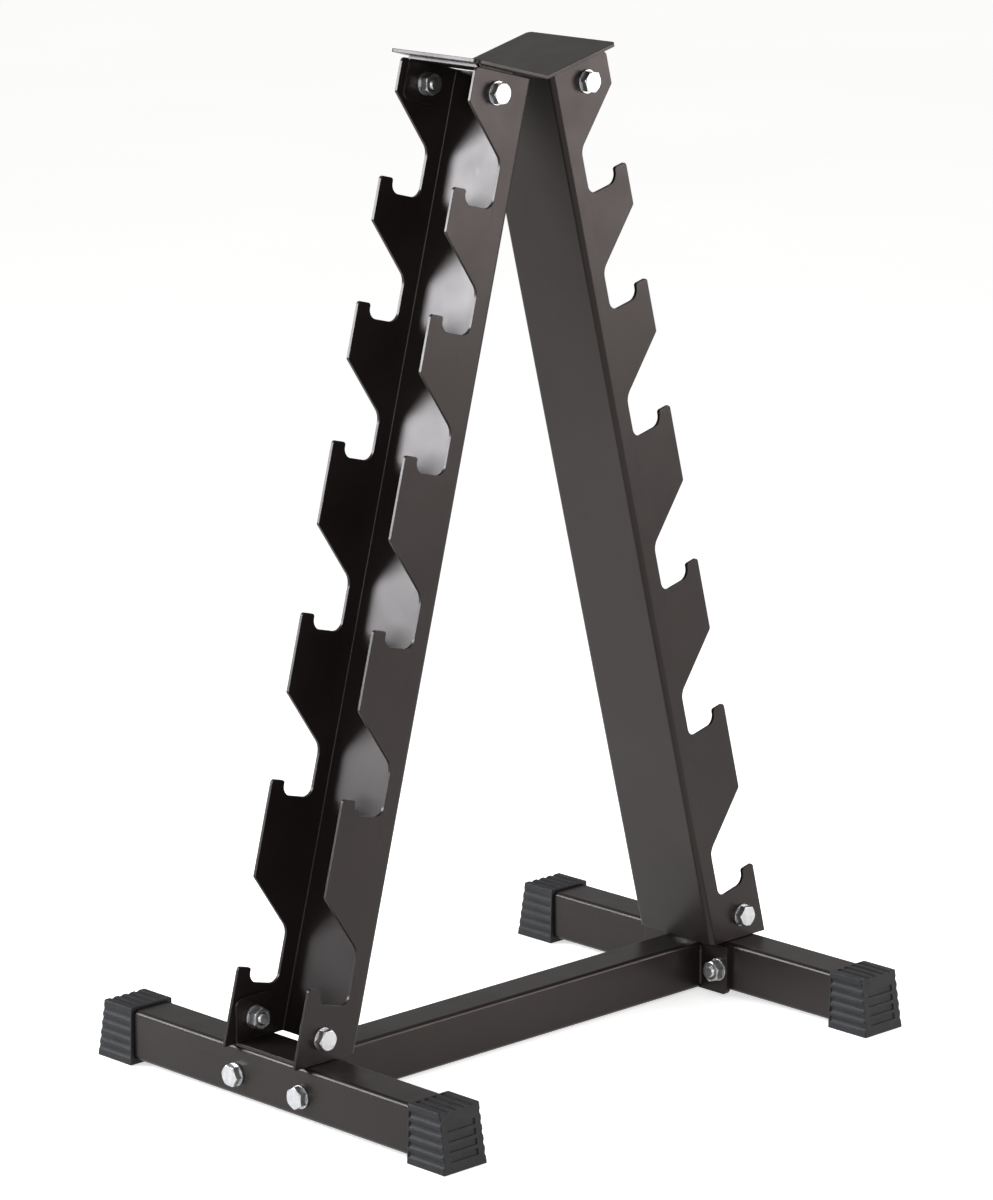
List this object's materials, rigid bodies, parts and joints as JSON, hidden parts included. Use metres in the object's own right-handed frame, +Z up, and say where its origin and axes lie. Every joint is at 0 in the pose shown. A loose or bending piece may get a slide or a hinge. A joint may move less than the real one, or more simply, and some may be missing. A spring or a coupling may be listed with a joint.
{
  "type": "dumbbell rack",
  "caption": "Free-standing A-frame dumbbell rack: two leaning notched channels on tube feet, joined by a crossbeam and a folded top plate.",
  "frame": {"origin": "on the floor at the middle of the rack's footprint", "axes": "+Z up, +X along the crossbeam towards the right upright, +Y along the feet towards their far ends"},
  "size_m": [0.5666, 0.432, 0.8645],
  "materials": {
    "powder_coat": "satin black powder coat",
    "bright_zinc": "bright zinc plate",
    "cap_rubber": "matt black moulded rubber"
  },
  "bodies": {
    "root": {"left_upright": "powder_coat", "right_upright": "powder_coat", "top_plate": "powder_coat", "left_top_bracket": "powder_coat", "right_top_bracket": "powder_coat", "top_bracket_welds": "powder_coat", "left_foot_tube": "powder_coat", "right_foot_tube": "powder_coat", "left_foot_bracket": "powder_coat", "right_foot_bracket": "powder_coat", "foot_bracket_welds": "powder_coat", "crossbeam": "powder_coat", "left_end_plate": "powder_coat", "right_end_plate": "powder_coat", "end_plate_welds": "powder_coat", "top_bolts": "bright_zinc", "top_washers": "bright_zinc", "top_nuts": "bright_zinc", "foot_bolts": "bright_zinc", "foot_washers": "bright_zinc", "foot_nuts": "bright_zinc", "crossbeam_bolts": "bright_zinc", "crossbeam_washers": "bright_zinc", "crossbeam_nuts": "bright_zinc", "left_near_end_cap": "cap_rubber", "left_far_end_cap": "cap_rubber", "right_near_end_cap": "cap_rubber", "right_far_end_cap": "cap_rubber"}
  },
  "joints": []
}
